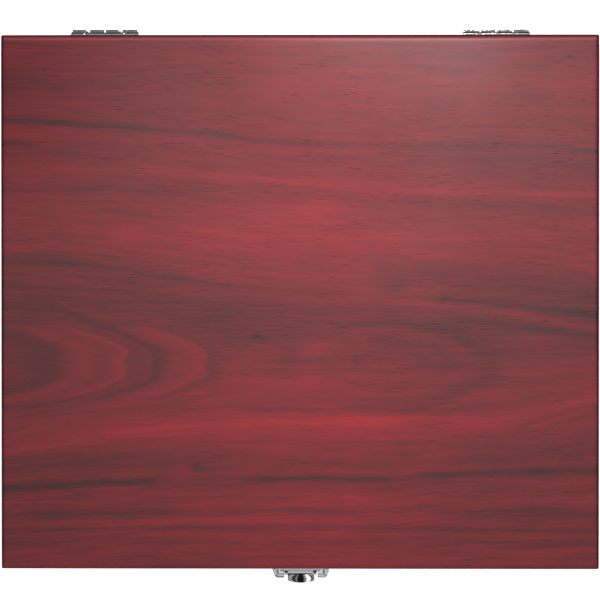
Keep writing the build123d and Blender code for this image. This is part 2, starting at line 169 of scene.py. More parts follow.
def streaks(x, y, length, width, layer, **settings):
    """Noise about 0 in the plane of the lid, drawn out along X. Layers are independent."""
    return noise(x / length, y / width, layer, **settings) - 0.5


def ramp(value, stops):
    """Colour ramp through the (position, colour) stops."""
    result = add_node(value.tree, "ValToRGB", {0: value})
    elements = result.socket.node.color_ramp.elements
    while len(elements) < len(stops):
        elements.new(0.5)
    for element, (position, colour) in zip(elements, stops):
        element.position = position
        element.color = (*colour, 1.0)
    return result


def grey_ramp(value, stops):
    return ramp(value, [(position, (grey,) * 3) for position, grey in stops])


def mix(factor, first, second):
    """Colour going from first to second as the factor goes from 0 to 1."""
    inputs = {0: factor, 6: first, 7: second}
    return add_node(factor.tree, "Mix", inputs, output=2, data_type="RGBA")


def curve(x, points, start=-160.0, end=160.0):
    """Smooth curve through the (x, value) points, which lie between start and end."""
    low = min(value for _, value in points)
    high = max(value for _, value in points)
    span = max(high - low, 1e-6)
    places = [((at - start) / (end - start), (value - low) / span) for at, value in points]
    inputs = {"Value": (x - start) / (end - start)}
    result = add_node(x.tree, "FloatCurve", inputs)
    mapping = result.socket.node.mapping
    mapping.use_clip = False
    line = mapping.curves[0]
    line.points[0].location, line.points[1].location = places[0], places[-1]
    for place in places[1:-1]:
        line.points.new(*place)
    for point in line.points:
        point.handle_type = "AUTO_CLAMPED"
    mapping.update()
    return result * span + low


def split(vector, axes=3):
    parts = add_node(vector.tree, "SeparateXYZ", {0: vector})
    return [Value(vector.tree, output) for output in parts.socket.node.outputs[:axes]]


def coords(tree, axes=3):
    """Object coordinates in mm. A CAD node's object sits at the origin: its place at rest."""
    vector = add_node(tree, "TexCoord", {}, output="Object")
    return [value * 1000.0 for value in split(vector, axes)]


def bump(height, strength, distance, **normal):
    inputs = {"Strength": strength, "Distance": distance, "Height": height}
    inputs.update({"Normal": value for value in normal.values()})
    return add_node(height.tree, "Bump", inputs)


def new_material(name):
    """A material and its Principled shader."""
    made = bpy.data.materials.new(name)
    made.use_nodes = True
    return made, made.node_tree.nodes["Principled BSDF"]


def cover(mesh, made):
    mesh.materials.clear()
    mesh.materials.append(made)


def cover_nodes(made, *names):
    for name in names:
        cover(NODES[name].data, made)


# ------------------------------------------------------------------ wood
# (tone, colour) of the stained wood, from the darkest growth lines to the brightest open grain
MAHOGANY = [
    (0.00, (0.040, 0.0074, 0.0090)),
    (0.25, (0.090, 0.0084, 0.0115)),
    (0.50, (0.170, 0.0090, 0.0142)),
    (0.75, (0.270, 0.0098, 0.0170)),
    (1.00, (0.400, 0.0120, 0.0215)),
]

# Grain lines of the lid's veneer, in mm from the lid's middle:
# path as (x, y), half width, tone along it as (x, tone)
FIGURE = [
    ([(-156, 94.2), (-114, 92.1), (-87, 90), (-52, 87.5), (0, 82.3), (21, 81.2), (62, 80.2),
      (104, 80.7), (156, 77.6)], 1.5,
     [(-156, -0.34), (-109, -0.34), (-83, -0.26), (-26, -0.22), (18, -0.24), (31, -0.06),
      (52, -0.12), (88, -0.2), (119, -0.12), (156, -0.24)]),
    ([(-156, 82.3), (-125, 81.7), (156, 78.6)], 1.4,
     [(-156, -0.18), (-140, -0.16), (-130, 0), (156, 0)]),
    ([(-156, 78.6), (52, 73.4), (156, 70.8)], 5,
     [(-156, -0.07), (-93, -0.06), (-52, 0), (42, 0), (73, -0.1), (156, -0.1)]),
    ([(-156, 72.4), (-87, 68.8), (-18, 63.6), (17, 60.5), (52, 58.4), (104, 56.8), (156, 55.8)], 1.7,
     [(-156, 0), (-125, 0.06), (-83, 0.1), (-36, 0.12), (-16, 0.2), (26, 0.2), (47, 0.1),
      (73, 0.14), (104, 0.08), (135, 0.16), (156, 0.12)]),
    ([(-156, 59.9), (-62, 57.9), (156, 46.5)], 2.5,
     [(-156, -0.04), (-88, -0.08), (-52, -0.1), (-31, 0), (42, 0), (67, -0.07), (156, -0.1)]),
    ([(-156, 41.3), (-87, 36.1), (-26, 35.6), (17, 33.5), (69, 31.9), (156, 26.7)], 7.5,
     [(-156, 0.06), (-125, 0.06), (-87, 0.16), (-26, 0.2), (17, 0.20), (69, 0.16), (114, 0.1),
      (156, 0.08)]),
    ([(-156, 49.6), (-87, 46.5), (-26, 46.5), (17, 47.5), (156, 41.3)], 4.4,
     [(-156, 0.03), (-125, 0.06), (-87, 0.02), (-26, 0.06), (10, 0.16), (36, 0.06), (156, 0.04)]),
    ([(-156, 25.2), (-93, 23.2), (156, 20.5)], 3.4,
     [(-156, -0.1), (-104, -0.1), (-78, -0.03), (-52, 0), (156, 0)]),
    ([(-156, 116), (156, 108)], 8,
     [(-156, -0.05), (-90, -0.05), (-40, 0), (0, 0.09), (100, 0.1), (156, 0.05)]),
    ([(-156, 134), (156, 132)], 6,
     [(-156, -0.07), (-70, -0.06), (-30, 0), (40, 0.03), (80, 0), (156, -0.05)]),
    ([(-156, 29), (156, 24)], 4, [(-156, 0.07), (-40, 0.07), (0, 0), (156, 0.03)]),
    ([(-156, -50), (-139, -44.9), (-113, -39.2), (-92, -34)], 2.2,
     [(-156, 0.15), (-110, 0.14), (-98, 0.04), (-88, 0), (156, 0)]),
    ([(-156, 20.5), (-119, 19.5), (-87, 16.3), (-67, 13.2), (-35, 8.6), (0, 6), (52, 7.5),
      (156, 0.8)], 1.5,
     [(-156, -0.16), (-125, -0.2), (-87, -0.22), (-67, -0.22), (-31, -0.16), (0, -0.12),
      (31, -0.05), (156, 0)]),
    ([(-156, 16.3), (43, 15.3), (67, 15.3), (95, 11.7), (125, 9.1), (156, 6)], 5.6,
     [(-156, 0), (31, 0), (47, -0.14), (73, -0.14), (95, -0.12), (125, -0.16), (156, -0.18)]),
    ([(-156, -8), (-104, -10), (-52, -13), (0, -16), (156, -17)], 11,
     [(-156, -0.1), (-104, -0.11), (-62, -0.2), (-21, -0.27), (5, -0.24), (40, -0.16),
      (110, -0.16), (156, -0.18)]),
    ([(-156, 7), (-93, 4), (-21, -0.5), (156, -1)], 6.5,
     [(-156, -0.1), (-93, -0.12), (-52, -0.13), (16, -0.12), (100, -0.1), (156, -0.08)]),
    ([(-156, 0.8), (-26, 1.3), (35, 0.8), (87, -2.9), (130, -9.6), (156, -14.3)], 1.7,
     [(-156, 0), (-31, 0), (0, 0.1), (87, 0.14), (130, 0.2), (156, 0.2)]),
    ([(-156, 1.8), (62, 2.9), (83, 0.8), (104, -1.3), (130, -3.4), (156, -7)], 2,
     [(-156, 0), (62, 0), (83, -0.2), (104, -0.2), (130, -0.26), (156, -0.36)]),
    ([(-156, -8.6), (73, -8.6), (87, -9.6), (113, -12.7), (156, -18.9)], 1.6,
     [(-156, 0), (67, 0), (88, -0.14), (156, -0.16)]),
    ([(-156, -2.3), (-125, -4.4), (-104, -12.7), (-87, -15.3), (-52, -18.9), (156, -20)], 1.6,
     [(-156, -0.05), (-125, -0.1), (-110, -0.2), (-96, -0.18), (-78, -0.06), (-57, 0), (156, 0)]),
    ([(-156, -55.3), (-130, -52.7), (-104, -45.9), (-78, -43.3), (156, -40.7)], 1.9,
     [(-156, -0.14), (-125, -0.14), (-78, -0.1), (-57, 0), (156, 0)]),
    ([(-156, -75.5), (-87, -66.7), (-35, -63.1), (17, -62), (61, -63.1), (104, -61), (135, -55.3),
      (156, -48.5)], 4.7,
     [(-156, 0.14), (-109, 0.15), (-73, 0.20), (-35, 0.18), (0, 0.19), (23, 0.26), (52, 0.17),
      (83, 0.12), (125, 0.12), (156, 0.2)]),
    ([(-156, -57.3), (35, -55.8), (61, -57.3), (87, -54.2), (104, -52.2), (156, -47)], 1.4,
     [(-156, 0), (-42, 0), (-21, -0.1), (21, -0.1), (57, -0.14), (93, -0.12), (119, 0), (156, 0)]),
    ([(-156, -66.7), (93, -66.7), (109, -64.6), (130, -58.9), (156, -52.2)], 1.4,
     [(-156, 0), (99, 0), (114, -0.14), (156, -0.18)]),
    ([(-156, -86.4), (-109, -83.3), (-73, -84.3), (156, -84.3)], 5,
     [(-156, -0.14), (-109, -0.12), (-78, -0.07), (-42, -0.14), (42, -0.14), (70, -0.05), (156, 0)]),
    ([(-156, -82.3), (62, -83.3), (93, -79.7), (156, -77.1)], 5,
     [(-156, 0), (-52, -0.04), (62, -0.06), (93, -0.14), (156, -0.16)]),
    ([(-156, -97.3), (-114, -94.7), (-83, -93.2), (-35, -92.6), (0, -91.6), (42, -92.1), (69, -90),
      (104, -88.5), (156, -86.9)], 1.8,
     [(-156, -0.5), (-114, -0.46), (-78, -0.36), (-65, -0.12), (-34, -0.14), (-21, -0.3),
      (42, -0.32), (54, -0.18), (78, -0.36), (125, -0.36), (156, -0.32)]),
    ([(-156, -106.1), (-52, -104.6), (156, -102.5)], 1.6,
     [(-156, 0.02), (-62, 0.08), (62, 0.1), (156, 0.12)]),
    ([(-156, -111.3), (-26, -108.7), (156, -109.2)], 1.6,
     [(-156, -0.1), (-52, -0.08), (52, -0.05), (156, -0.08)]),
    ([(-156, -116), (-26, -113.4), (156, -116.5)], 1.5,
     [(-156, 0.08), (-26, 0.12), (42, 0.06), (156, 0.08)]),
    ([(-156, -119.6), (-26, -117.6), (156, -118.6)], 1.2,
     [(-156, -0.06), (-26, -0.14), (156, -0.12)]),
    ([(-156, -120.7), (-26, -120.1), (156, -121.7)], 1.5,
     [(-156, 0), (-78, 0.06), (0, 0.1), (156, 0.06)]),
    ([(-156, -124.8), (-26, -124.3), (156, -124.8)], 2,
     [(-156, -0.1), (-26, -0.08), (156, -0.08)]),
]
# (x, how far the grain is carried off straight there) in three bands of the lid
DRIFT_BACK = [(-156, 0), (-114, -2.1), (-87, -4.2), (-52, -6.7), (0, -11.9), (21, -13.0),
              (62, -14.0), (104, -13.5), (156, -16.6)]
DRIFT_MIDDLE = [(-156, 0), (-87, 8.8), (-35, 12.5), (17, 13.0), (61, 12.5), (104, 14.0),
                (135, 20.2), (156, 26.5)]
DRIFT_FRONT = [(-156, 0), (-114, 2.6), (-83, 4.2), (-35, 4.7), (0, 5.7), (42, 5.2), (69, 7.3),
               (104, 8.8), (156, 10.4)]
# growth rings of the cathedral at the left: (distance from its pith along the grain, tone)
RINGS = [(0, 0.25), (7, 0.21), (19, 0.36), (30, 0.46), (35, 0.40), (45, 0.49), (48.8, 0.57),
         (51.5, 0.34), (60, 0.37), (65.5, 0.26), (69.5, 0.34), (81, 0.53), (89, 0.57), (93, 0.37),
         (103, 0.42), (120, 0.45)]
# small burrs and pale patches: x, y, radius along x, radius along y, tone
SPOTS = [
    (-28.0, 17.4, 3.2, 1.6, -0.14), (50.0, 7.5, 3.4, 2.6, -0.16),
    (-22.0, -17.4, 4.5, 2.2, -0.18), (-53.0, -85.9, 3.2, 2.6, -0.26),
    (9.0, -22.6, 17.0, 4.2, 0.16), (-4.0, -30.4, 10.0, 3.0, -0.10),
    (82.0, -33.0, 13.0, 3.0, -0.12), (4.0, -42.3, 11.0, 3.4, 0.12),
    (-118.0, 47.0, 11.0, 3.0, 0.08), (-139.0, 116.0, 26.0, 16.0, -0.05),
]


def grain_drift(x, y):
    back = curve(x, DRIFT_BACK) * fade(y, -20.0, 6.0) * fade(y, 128.0, 88.0)
    middle = curve(x, DRIFT_MIDDLE) * fade(y, -20.0, -51.0) * fade(y, -92.6, -74.5)
    return back + middle + curve(x, DRIFT_FRONT) * fade(y, -74.5, -92.6)


def add_eye(tone, x, y):
    """A long eye right of the middle: oval rings, strongest at their right."""
    off_x = (x - 44.0) / 60.0
    off_y = (y + 31.4) / 23.0
    wobble = streaks(x, y, length=26.0, width=12.0, layer=60.0) * 0.35
    radius = (off_x * off_x + off_y * off_y).op("SQRT") + wobble
    right = fade(off_x, -0.9, 0.7, before=0.25)
    tone = tone - gauss(radius, centre=0.93, width=0.13) * 0.13 * right
    tone = tone - fade(radius, 0.75, 1.05, before=1.0, after=0.0) * 0.05
    tone = tone + gauss(radius, centre=0.72, width=0.09) * 0.05
    tone = tone - gauss(radius, centre=0.50, width=0.07) * 0.05 * right
    return tone - gauss(radius, centre=0.26, width=0.06) * 0.08


def add_cathedral(tone, x, y, fine):
    """Cathedral figure at the left, its arcs opening to the left."""
    off = y + 31.2
    # the arcs bend back beyond a flat nose
    behind = (off - 6.2).max(0.0)
    before = (-7.3 - off).max(0.0)
    wobble = streaks(x, y, length=22.0, width=11.0, layer=40.0) * 8.0
    distance = (x + 140.0) + (behind ** 1.3) * 1.10 + (before ** 1.3) * 1.28 + wobble
    arcs = curve(distance, RINGS, start=-10.0, end=130.0)
    grain = noise(x / 20.0, distance / 6.0 + off / 1.8, 8.0) - 0.5
    inner = arcs + grain * 0.14 + fine * 0.10
    inside = fade(distance, 93.0, 108.0, before=1.0, after=0.0)
    inside = inside * fade(off, 14.0, 22.0, before=1.0, after=0.0) * fade(off, -24.0, -14.0)
    return tone * (1.0 - inside) + inner * inside


def veneer_tone(x, y):
    """Tone of the lid's veneer and the place across its grain, x and y from the lid's middle."""
    sway = streaks(x, y, length=60.0, width=22.0, layer=3.0) * 3.4
    jitter = streaks(x, y, length=17.0, width=6.0, layer=7.0, detail=1.5) * 1.5
    swayed = y + sway * 0.5 + jitter
    grain = y - grain_drift(x, y) + sway
    # brighter about the middle, darker along the front
    tone = 0.425 + x * 0.00030 + gauss(x, centre=5.0, width=85.0) * 0.18
    tone = tone - fade(y, -85.0, -97.0, after=0.06) * fade(x, -120.0, 20.0, before=0.4, after=1.4)
    broad = streaks(x, grain, length=120.0, width=8.0, layer=1.7)
    medium = streaks(x, grain, length=27.0, width=2.4, layer=5.1, rough=0.55)
    fine = streaks(x, grain, length=8.5, width=1.05, layer=9.3, detail=1.0)
    tone = tone + broad * 0.26 + medium * 0.37 + fine * 0.16
    # closer, stronger streaks along the front
    close = streaks(x, grain, length=48.0, width=1.9, layer=12.6, detail=1.5)
    tone = tone + close * fade(y, -78.0, -104.0, before=0.06, after=0.34)
    # grain lines, each broken into patches
    for path, half_width, strength in FIGURE:
        patch = noise(x / 16.0, grain / 3.0, half_width * 9.0, detail=1.0)
        line = gauss(swayed, curve(x, path), half_width * 1.18)
        tone = tone + line * curve(x, strength) * (0.36 + patch * 1.05)
    tone = add_eye(tone, x, y)
    for spot_x, spot_y, radius_x, radius_y, strength in SPOTS:
        off_x = (x - spot_x) / radius_x
        off_y = (swayed - spot_y) / radius_y
        tone = tone + (-(off_x * off_x + off_y * off_y)).op("EXPONENT") * strength
    return add_cathedral(tone, x, y, fine), grain


def board_tone(along, across, depth):
    """Tone of solid wood and the place across its grain."""
    sway = (noise_at((along, across, depth), (90.0, 30.0, 30.0), detail=1.5) - 0.5) * 9.0
    grain = across + sway
    layer = depth + sway * 0.7
    place = (along, grain, layer)
    # broad, medium and fine streaks
    tone = 0.45 + (noise_at(place, (120.0, 9.0, 9.0), detail=1.5) - 0.5) * 0.45
    tone = tone + (noise_at(place, (42.0, 2.6, 2.6), rough=0.6) - 0.5) * 0.40
    tone = tone + (noise_at(place, (15.0, 0.95, 0.95), detail=1.5) - 0.5) * 0.22
    # thin dark growth lines where the noise crosses its middle
    line = noise(along / 200.0, grain / 10.0, layer / 10.0 + 14.0, detail=1.0) * 2.0 - 1.0
    return tone - fade(line.abs(), 0.0, 0.06, before=0.22, after=0.0), grain


def lid_rim(colour, coat, x, y, z):
    """Colour, specular level and coat over the lid, with painted shade and a painted highlight on
    its rounded rim.
    """
    from_side = LID_HALF_X - x.abs()
    from_long = LID_HALF_Y - (y - CASE_Y).abs()
    inset = from_side.min(from_long)
    front = fade(y - CASE_Y + LID_HALF_Y, 2.0, 6.0, before=1.0, after=0.0)
    rim = fade(z, 64.0, 67.0, before=0.30)
    side = fade(from_side, 0.3, 1.7, before=1.0, after=0.0)
    # painted shade: the rounded rim is darkened towards its outer edge, hardly along the front, and
    # more along the left and right sides
    dark = fade(inset, 0.25, 1.5, before=0.85, after=0.0) * (1.0 - front * 0.95) * rim
    colour = mix(dark, colour, (0.016, 0.0026, 0.0036))
    colour = mix(side * rim * 0.55, colour, (0.030, 0.0016, 0.0026))
    # painted highlight: a pale line just inside the back edge, where the rounded rim catches the
    # light
    pale = gauss(from_long, centre=2.2, width=0.8) * fade(from_side, 0.5, 3.0)
    pale = pale * fade(y - CASE_Y, 0.0, 30.0) * 0.34
    colour = mix(pale, colour, (0.45, 0.085, 0.095))
    # the lacquer is leaner on the rim and towards the back left
    lean = fade(x, -70.0, -155.0) * fade(y - CASE_Y, 10.0, 125.0) * -0.42 + 1.0
    specular = fade(inset, 0.2, 1.6, before=0.12, after=0.44) * lean * (1.0 - side * 0.95)
    coat = (gauss(from_long, centre=2.2, width=1.3) * 0.05 + coat) * (1.0 - side)
    return colour, specular, coat


def wood(name, axis="X", seed=0.0, lift=0.0, rough=0.53, coat=0.026, lid=False):
    """Stained mahogany under satin lacquer. The grain runs along the named axis."""
    made, shader = new_material(name)
    x, y, z = coords(made.node_tree)
    if lid:
        along, across, depth = x, y - CASE_Y, z * 0.6
        tone, grain = veneer_tone(along, across)
    else:
        along, across = (x, y - CASE_Y) if axis == "X" else (y - CASE_Y, x)
        along = along + seed * 37.0
        depth = z + seed * 11.0
        tone, grain = board_tone(along, across, depth)
    place = (along, across, depth)
    # open pores: short dark flecks along the grain with glints beside them, and fibre between
    fibre = noise_at(place, (3.6, 0.60, 0.60), detail=1.0) - 0.5
    ripple = (noise(along / 5.0, across / 3.0, depth / 3.0 + 17.0, detail=1.0) - 0.5) * 0.8
    ripple = across + ripple
    flecks = noise(along / 6.5, ripple / 0.85, depth / 0.85 + 3.0, detail=1.0)
    glints = noise(along / 6.5, ripple / 0.85 + 0.60, depth / 0.85 + 3.0, detail=1.0)
    crowd = noise(along / 30.0, grain / 7.0, depth / 7.0 + 31.0, detail=1.5)
    crowd = fade(crowd, 0.40, 0.64)
    pore = fade(flecks, 0.56, 0.70) * crowd
    glint = fade(glints, 0.56, 0.70) * crowd
    tone = (tone + lift + fibre * 0.08 - pore * 0.16 + glint * 0.12).clamp()
    colour, specular = ramp(tone, MAHOGANY), 0.44
    if lid:
        colour, specular, coat = lid_rim(colour, coat, x, y, z)
    haze = noise_at(place, 50.0, detail=3.0) - 0.5
    feed(shader, {
        "Base Color": colour,
        "Roughness": rough + haze * 0.08 + pore * 0.08,
        "Specular IOR Level": specular,
        "Coat Weight": coat,
        "Coat Roughness": 0.175 + haze * 0.05,
        "Normal": bump(fibre * 0.25 - pore * 0.8, strength=0.35, distance=0.00006),
    })
    return made


lid_wood = wood("lid_veneer", lid=True)
long_wood = wood("board_wood_long", seed=2.0, lift=-0.03)
short_wood = wood("board_wood_short", axis="Y", seed=5.0, lift=-0.03)
under_wood = wood("bottom_board_wood", seed=8.0, lift=-0.20, rough=0.65, coat=0.0)

cover_nodes(lid_wood, "lid_top_panel")
for part in ("base", "lid"):
    cover_nodes(long_wood, f"{part}_front_board", f"{part}_back_board")
    cover_nodes(short_wood, f"{part}_left_board", f"{part}_right_board")
cover_nodes(under_wood, "bottom_panel")


# ------------------------------------------------------------------ metal
def chrome(name, rough, wave, tint=(0.80, 0.81, 0.82), edge=0.00025, satin=None, painted_shade_z=None):
    """Polished plate with the unevenness, hairlines and dulled edges of handled hardware.

    wave scales the unevenness and edge is the bevel radius in metres. satin is (from z, to z,
    added roughness) in mm, and the last argument is the height in mm of a top edge painted dark as
    shade.
    """
    made, shader = new_material(name)
    place = coords(made.node_tree)
    z = place[2]
    cloud = noise_at(place, 6.0, detail=3.0) - 0.5
    smear = noise_at(place, (2.2, 2.2, 0.7), detail=3.0, rough=0.65)
    hair = fade(noise_at(place, (4.0, 4.0, 0.09), detail=1.0), 0.66, 0.78)
    colour = mix((cloud * 0.8 + 0.25).clamp(), tint, tuple(c * 0.72 for c in tint))
    gloss = rough + fade(smear, 0.45, 0.8) * 0.05 * wave + hair * 0.10
    if satin:
        start, end, dulling = satin
        gloss = gloss + fade(z, start, end, after=dulling)
    if painted_shade_z:
        # painted shade: the colour of the leaf's top edge is darkened, standing in for the shade it
        # lies in
        painted_shade_top = fade(z, painted_shade_z - 0.30, painted_shade_z - 0.02, after=0.72)
        colour = mix(painted_shade_top, colour, (0.16, 0.15, 0.15))
        gloss = gloss + fade(z, painted_shade_z - 0.30, painted_shade_z - 0.02, after=0.50)
    uneven = noise_at(place, 3.4, detail=1.5)
    normal = add_node(made.node_tree, "Bevel", {"Radius": edge}, samples=6)
    normal = bump(uneven, strength=0.16 * wave, distance=0.0006, normal=normal)
    normal = bump(hair, strength=0.05, distance=0.00002, normal=normal)
    feed(shader, {"Base Color": colour, "Metallic": 1.0, "Roughness": gloss, "Normal": normal})
    return made


plate = chrome("chrome_plate", rough=0.12, wave=0.6)
barrel = chrome("chrome_barrel", rough=0.09, wave=0.6, painted_shade_z=LEAF_TOP)
lever_metal = chrome("chrome_lever", rough=0.05, wave=0.35, satin=(38.0, 44.0, 0.06))
screw_metal = chrome("chrome_screw", rough=0.10, wave=0.4, tint=(0.60, 0.61, 0.62), edge=0.00012)
pin_metal = chrome("steel_pin", rough=0.2, wave=0.3, tint=(0.62, 0.62, 0.63), edge=0.0001)
spring_metal = chrome("blued_spring", rough=0.24, wave=0.3, tint=(0.30, 0.30, 0.34), edge=0.0001)

for side in ("left", "right"):
    for leaf in ("lid", "base"):
        cover_nodes(barrel, f"hinge_{side}_{leaf}_leaf")
        cover_nodes(screw_metal, f"hinge_{side}_{leaf}_screws")
    cover_nodes(pin_metal, f"hinge_{side}_pin")
cover_nodes(plate, "latch_catch_plate", "latch_back_plate", "latch_housing")
cover_nodes(lever_metal, "latch_lever")
cover_nodes(pin_metal, "latch_lever_pin")
cover_nodes(screw_metal, "latch_catch_screws", "latch_housing_screws")


# ------------------------------------------------------------------ flock, felt and rubber
def pile(name, deep, pale, tuft_size, sheen, depth):
    """Short upright fibres: brushing marks, fibre speckle and a soft edge sheen.

    tuft_size is in mm; depth, the bump's height, in metres.
    """
    made, shader = new_material(name)
    place = coords(made.node_tree)
    brushed = noise_at(place, (30.0, 19.0, 19.0), detail=3.0)
    tuft = noise_at(place, tuft_size, rough=0.7)
    speck = noise_at(place, tuft_size * 0.35, detail=1.0)
    paleness = fade(brushed, 0.3, 0.72) * 0.45 + tuft * 0.45 + (speck - 0.5) * 0.5
    feed(shader, {
        "Base Color": mix(paleness.clamp(), deep, pale),
        "Roughness": 0.95,
        "Specular IOR Level": 0.15,
        "Sheen Weight": sheen,
        "Sheen Roughness": 0.45,
        "Sheen Tint": tuple(min(1.0, c * 5 + 0.25) for c in pale),
        "Normal": bump(tuft * 0.6 + speck * 0.6, strength=0.8, distance=depth),
    })
    return made


def rubber():
    """Black rubber with a little dust."""
    made, shader = new_material("foot_rubber")
    place = coords(made.node_tree)
    dust = noise_at(place, 5.0, detail=4.0)
    feed(shader, {
        "Base Color": mix(fade(dust, 0.4, 0.75), (0.012, 0.012, 0.012), (0.040, 0.038, 0.036)),
        "Roughness": 0.55 + dust * 0.3,
        "Normal": bump(noise_at(place, 0.4), strength=0.4, distance=0.00006),
    })
    return made


flock = pile("green_flock", deep=(0.004, 0.030, 0.015), pale=(0.012, 0.075, 0.036),
             tuft_size=0.9, sheen=0.55, depth=0.00035)
felt = pile("green_felt", deep=(0.005, 0.034, 0.017), pale=(0.014, 0.082, 0.040),
            tuft_size=1.6, sheen=0.45, depth=0.00045)
cover_nodes(flock, "chip_rack", "card_tray")
cover_nodes(rubber(), "feet")


# ------------------------------------------------------------------ lining inside the lid
PAD_INSET = 0.0012  # block's sides inside the pad's CAD box
PAD_X = (PAD_LOW.x + PAD_HIGH.x) / 2
PAD_Y = (PAD_LOW.y + PAD_HIGH.y) / 2
PAD_HALF = (
    (PAD_HIGH.x - PAD_LOW.x) / 2 - PAD_INSET,
    (PAD_HIGH.y - PAD_LOW.y) / 2 - PAD_INSET,
)
PAD_TOP = PAD_HIGH.z - 0.0003
PAD_BOTTOM = PAD_LOW.z + 0.0035
PAD_VOXEL = 0.0035
GLUE_DEPTH = 0.002  # below the top, held fast
GLUE_RIM = 0.0025  # inside the sides, held lightly
CLOTH_FRAMES = 20
MAX_PUFF = 0.005  # farthest the cloth may move
EDGE_RISE, EDGE_REACH = 0.0030, 0.0048  # lift of the free face at its edge, how far it reaches
CROWN = 0.0012
DRAW_IN, DRAW_REACH = 0.0016, 0.010  # sides drawn in between corners, how far it reaches

WELT_INSET = 0.0026
WELT_RISE = 0.0042  # cord's axis above the bottom of the pad's box
WELT_CORNER = 0.006
WELT_STEP = 0.0011
WELT_RADIUS = 0.00125
WELT_SIDES = 10


def add_object(name, data):
    made = bpy.data.objects.new(name, data)
    bpy.context.scene.collection.objects.link(made)
    return made


def mesh_object(name, bm):
    mesh = bpy.data.meshes.new(name)
    bm.to_mesh(mesh)
    bm.free()
    made = add_object(name, mesh)
    smooth_faces(made)
    return made


def smooth_faces(made):
    for face in made.data.polygons:
        face.use_smooth = True


def apply_modifiers(made):
    graph = bpy.context.evaluated_depsgraph_get()
    mesh = bpy.data.meshes.new_from_object(made.evaluated_get(graph))
    made.modifiers.clear()
    made.data = mesh


def inflate(pad):
    """Puff the pad as cloth glued at its top and lightly held at its sides."""
    start = [v.co.copy() for v in pad.data.vertices]
    glued = pad.vertex_groups.new(name="glued")
    for v in pad.data.vertices:
        edge = min(PAD_HALF[0] - abs(v.co.x - PAD_X), PAD_HALF[1] - abs(v.co.y - PAD_Y))
        if v.co.z > PAD_TOP - GLUE_DEPTH:
            glued.add([v.index], 1.0, "REPLACE")
        elif edge < GLUE_RIM:
            glued.add([v.index], 0.35, "REPLACE")
    cloth = pad.modifiers.new("cloth", "CLOTH")
    settings = cloth.settings
    settings.quality = 6
    settings.mass = 0.35
    settings.use_pressure = True
    settings.uniform_pressure_force = 4.0
    settings.tension_stiffness = 12
    settings.compression_stiffness = 12
    settings.shear_stiffness = 6
    settings.bending_stiffness = 1.2
    settings.effector_weights.gravity = 0.0
    settings.vertex_group_mass = "glued"
    cloth.collision_settings.use_collision = False
    cloth.point_cache.frame_start = 1
    cloth.point_cache.frame_end = CLOTH_FRAMES
    for frame in range(1, CLOTH_FRAMES + 1):
        bpy.context.scene.frame_set(frame)
    graph = bpy.context.evaluated_depsgraph_get()
    moved = [v.co.copy() for v in pad.evaluated_get(graph).data.vertices]
    pad.modifiers.clear()
    bpy.context.scene.frame_set(1)
    for v, before, after in zip(pad.data.vertices, start, moved):
        move = after - before
        v.co = before + (move if move.length < MAX_PUFF else move * (MAX_PUFF / move.length))


def shape_pad(v):
    """Crown the free face, ease its edge to the welt and draw the sides in between corners."""
    part = ((v.co.x - PAD_X) / PAD_HALF[0], (v.co.y - PAD_Y) / PAD_HALF[1])
    inset = [(1 - abs(p)) * half for p, half in zip(part, PAD_HALF)]
    below = min(1.0, max(0.0, (PAD_TOP - v.co.z) / (PAD_TOP - PAD_BOTTOM)))
    ease = math.exp(-max(min(inset), 0.0) / EDGE_REACH)
    crown = (1 - part[0]**4) * (1 - part[1]**4)
    v.co.z += below * (EDGE_RISE * ease - CROWN * max(crown, 0.0))
    for axis in (0, 1):
        bow = 1 - min(1.0, abs(part[1 - axis])) ** 6
        near = math.exp(-max(inset[axis], 0) / DRAW_REACH)
        v.co[axis] -= math.copysign(below * DRAW_IN * bow * near, part[axis])
        v.co[axis] = min(max(v.co[axis], PAD_LOW[axis] + 0.0002), PAD_HIGH[axis] - 0.0002)
    v.co.z = min(max(v.co.z, PAD_LOW.z - CROWN), PAD_HIGH.z - 0.00005)


def make_pad():
    """Felt over thin foam, glued to the lid's underside."""
    bm = bmesh.new()
    bmesh.ops.create_cube(bm, size=1.0)
    for v in bm.verts:
        x = PAD_X + v.co.x * 2 * PAD_HALF[0]
        y = PAD_Y + v.co.y * 2 * PAD_HALF[1]
        v.co = Vector((x, y, PAD_TOP if v.co.z > 0 else PAD_BOTTOM))
    pad = mesh_object("lid_lining", bm)
    remesh = pad.modifiers.new("remesh", "REMESH")
    remesh.mode = "VOXEL"
    remesh.voxel_size = PAD_VOXEL
    apply_modifiers(pad)
    inflate(pad)
    for v in pad.data.vertices:
        shape_pad(v)
    finer = pad.modifiers.new("sub", "SUBSURF")
    finer.levels = finer.render_levels = 1
    apply_modifiers(pad)
    smooth_faces(pad)
    cover(pad.data, felt)
    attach(pad, "lid")
    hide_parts("lid_lining_pad")


def rounded_outline(half_x, half_y, radius, step):
    """Points round a rectangle with rounded corners, counter-clockwise."""
    corners = []
    in_x, in_y = half_x - radius, half_y - radius
    for x, y, first in ((in_x, in_y, 0), (-in_x, in_y, 90), (-in_x, -in_y, 180), (in_x, -in_y, 270)):
        for i in range(7):
            angle = math.radians(first + 15 * i)
            corners.append((x + radius * math.cos(angle), y + radius * math.sin(angle)))
    points = []
    for i, (x, y) in enumerate(corners):
        end = corners[(i + 1) % len(corners)]
        count = max(1, round(math.dist((x, y), end) / step))
        for j in range(count):
            points.append((x + (end[0] - x) * j / count, y + (end[1] - y) * j / count))
    return points


